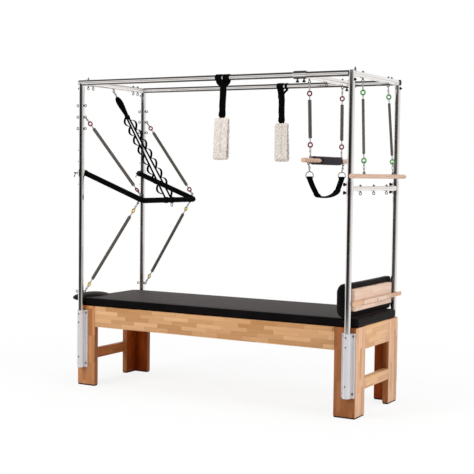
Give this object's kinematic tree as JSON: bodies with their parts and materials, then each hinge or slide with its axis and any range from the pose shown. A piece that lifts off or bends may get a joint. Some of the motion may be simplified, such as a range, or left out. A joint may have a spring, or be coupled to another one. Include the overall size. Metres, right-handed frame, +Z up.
{
  "type": "pilates trapeze table",
  "caption": "Padded wooden exercise table under a steel tube canopy with a push-through bar, sliding trapeze, roll-down bar, ankle loops, backrest and head cushion.",
  "frame": {"origin": "on the floor, under the middle of the whole object's length and width", "axes": "+X along the table towards the end with the backrest, +Y from the front side to the back side, +Z up"},
  "size_m": [2.23, 0.882, 2.1253],
  "materials": {
    "wood": "satin lacquer, vertical and horizontal staves",
    "pale_wood": "satin lacquer",
    "dowel": "satin lacquer",
    "vinyl": "soft grained upholstery vinyl",
    "rubber": "matt",
    "foam": "closed foam sleeve",
    "webbing": "woven webbing",
    "chrome": "polished",
    "aluminium": "satin anodised",
    "spring_steel": "bright drawn wire",
    "black_plastic": "moulded",
    "fleece": "deep pile"
  },
  "bodies": {
    "frame": {"apron_front": "wood", "apron_back": "wood", "end_rail_left": "wood", "end_rail_right": "wood", "end_brace_left": "wood", "end_brace_right": "wood", "leg_front_left": "wood", "leg_front_right": "wood", "leg_back_left": "wood", "leg_back_right": "wood", "deck_board": "pale_wood", "mat": "vinyl", "foot_pad_front_left": "rubber", "foot_pad_front_right": "rubber", "foot_pad_back_left": "rubber", "foot_pad_back_right": "rubber", "upright_front_left": "chrome", "upright_front_right": "chrome", "upright_back_left": "chrome", "upright_back_right": "chrome", "bracket_front_left": "aluminium", "bracket_front_right": "aluminium", "bracket_back_left": "aluminium", "bracket_back_right": "aluminium", "top_rail_front": "chrome", "top_rail_back": "chrome", "top_rail_left": "chrome", "top_rail_right": "chrome", "pivot_collar_front": "chrome", "pivot_collar_back": "chrome", "push_spring_upper_front": "spring_steel", "push_spring_upper_back": "spring_steel", "push_spring_lower_front": "spring_steel", "push_spring_lower_back": "spring_steel", "safety_strap": "webbing"},
    "push_bar": {"push_bar_tube": "chrome", "push_bar_foam": "foam"},
    "pull_pin_front": {"pull_pin_front": "black_plastic"},
    "pull_pin_back": {"pull_pin_back": "black_plastic"},
    "slide_carriage": {"slide_crossbar": "chrome"},
    "slide_knob_front": {"slide_knob_front": "black_plastic"},
    "slide_knob_back": {"slide_knob_back": "black_plastic"},
    "trapeze_springs": {"trapeze_spring_front": "spring_steel", "trapeze_spring_back": "spring_steel"},
    "trapeze": {"trapeze_dowel": "dowel", "trapeze_grip": "foam"},
    "sling": {"trapeze_sling": "webbing"},
    "roll_springs": {"roll_spring_front": "spring_steel", "roll_spring_back": "spring_steel"},
    "roll_down_bar": {"roll_down_bar": "dowel"},
    "low_bar": {"low_crossbar": "chrome"},
    "low_knob_front": {"low_knob_front": "black_plastic"},
    "low_knob_back": {"low_knob_back": "black_plastic"},
    "ankle_loop_front": {"ankle_loop_front": "fleece"},
    "ankle_loop_back": {"ankle_loop_back": "fleece"},
    "backrest": {"backrest_pad": "vinyl", "backrest_board": "pale_wood"},
    "backrest_bar": {"backrest_bar": "pale_wood"},
    "head_cushion": {"head_cushion": "vinyl"}
  },
  "joints": [
    {"name": "push_bar_swing", "type": "hinge", "parent": "frame", "child": "push_bar", "pos_m": [-0.951, 0, 1.482], "axis": [0, 1, 0], "range_deg": [-30, 30], "stiffness_Nm_per_rad": 150, "springref_deg": -8.59, "deforming": ["push_spring_upper_front", "push_spring_upper_back", "push_spring_lower_front", "push_spring_lower_back", "safety_strap"]},
    {"name": "pull_pin_front_slide", "type": "slide", "parent": "frame", "child": "pull_pin_front", "axis": [-1, 0, 0], "range_m": [0, 0.008], "stiffness_N_per_m": 800, "springref_m": -0.002},
    {"name": "pull_pin_back_slide", "type": "slide", "parent": "frame", "child": "pull_pin_back", "axis": [-1, 0, 0], "range_m": [0, 0.008], "stiffness_N_per_m": 800, "springref_m": -0.002},
    {"name": "carriage_slide", "type": "slide", "parent": "frame", "child": "slide_carriage", "axis": [1, 0, 0], "range_m": [-0.3, 0.06]},
    {"name": "slide_knob_front_turn", "type": "hinge", "parent": "slide_carriage", "child": "slide_knob_front", "pos_m": [0.7035, -0.374, 2.06], "axis": [0, 0, 1], "range_deg": [0, 270]},
    {"name": "slide_knob_back_turn", "type": "hinge", "parent": "slide_carriage", "child": "slide_knob_back", "pos_m": [0.7035, 0.374, 2.06], "axis": [0, 0, 1], "range_deg": [0, 270]},
    {"name": "trapeze_swing", "type": "hinge", "parent": "slide_carriage", "child": "trapeze_springs", "pos_m": [0.726, 0, 2.067], "axis": [0, 1, 0], "range_deg": [-12, 12]},
    {"name": "trapeze_drop", "type": "slide", "parent": "trapeze_springs", "child": "trapeze", "axis": [0, 0, -1], "range_m": [0, 0.25], "stiffness_N_per_m": 400, "springref_m": -0.08, "deforming": ["trapeze_spring_front", "trapeze_spring_back"]},
    {"name": "sling_swing", "type": "hinge", "parent": "trapeze", "child": "sling", "pos_m": [0.726, 0, 1.559], "axis": [0, 1, 0], "range_deg": [-35, 35]},
    {"name": "roll_swing", "type": "hinge", "parent": "frame", "child": "roll_springs", "pos_m": [1.067, 0, 2.067], "axis": [0, 1, 0], "range_deg": [-25, 0]},
    {"name": "roll_drop", "type": "slide", "parent": "roll_springs", "child": "roll_down_bar", "axis": [0.0582, 0, -0.9983], "range_m": [0, 0.25], "stiffness_N_per_m": 250, "springref_m": -0.08, "deforming": ["roll_spring_front", "roll_spring_back"]},
    {"name": "low_bar_slide", "type": "slide", "parent": "frame", "child": "low_bar", "axis": [0, 0, 1], "range_m": [-0.357, 0.018]},
    {"name": "low_knob_front_turn", "type": "hinge", "parent": "low_bar", "child": "low_knob_front", "pos_m": [1.038, -0.374, 1.432], "axis": [-1, 0, 0], "range_deg": [0, 270]},
    {"name": "low_knob_back_turn", "type": "hinge", "parent": "low_bar", "child": "low_knob_back", "pos_m": [1.038, 0.374, 1.432], "axis": [-1, 0, 0], "range_deg": [0, 270]},
    {"name": "ankle_loop_front_swing", "type": "hinge", "parent": "frame", "child": "ankle_loop_front", "pos_m": [0.176, -0.374, 2.1], "axis": [1, 0, 0], "range_deg": [-30, 30]},
    {"name": "ankle_loop_back_swing", "type": "hinge", "parent": "frame", "child": "ankle_loop_back", "pos_m": [0.208, 0.374, 2.1], "axis": [1, 0, 0], "range_deg": [-30, 30]},
    {"name": "backrest_lift", "type": "slide", "parent": "frame", "child": "backrest", "axis": [0, 0, 1], "range_m": [0, 0.12]},
    {"name": "backrest_bar_slide", "type": "slide", "parent": "backrest", "child": "backrest_bar", "axis": [0, 1, 0], "range_m": [-0.076, 0]},
    {"name": "head_cushion_lift", "type": "slide", "parent": "frame", "child": "head_cushion", "axis": [0, 0, 1], "range_m": [0, 0.15]}
  ]
}
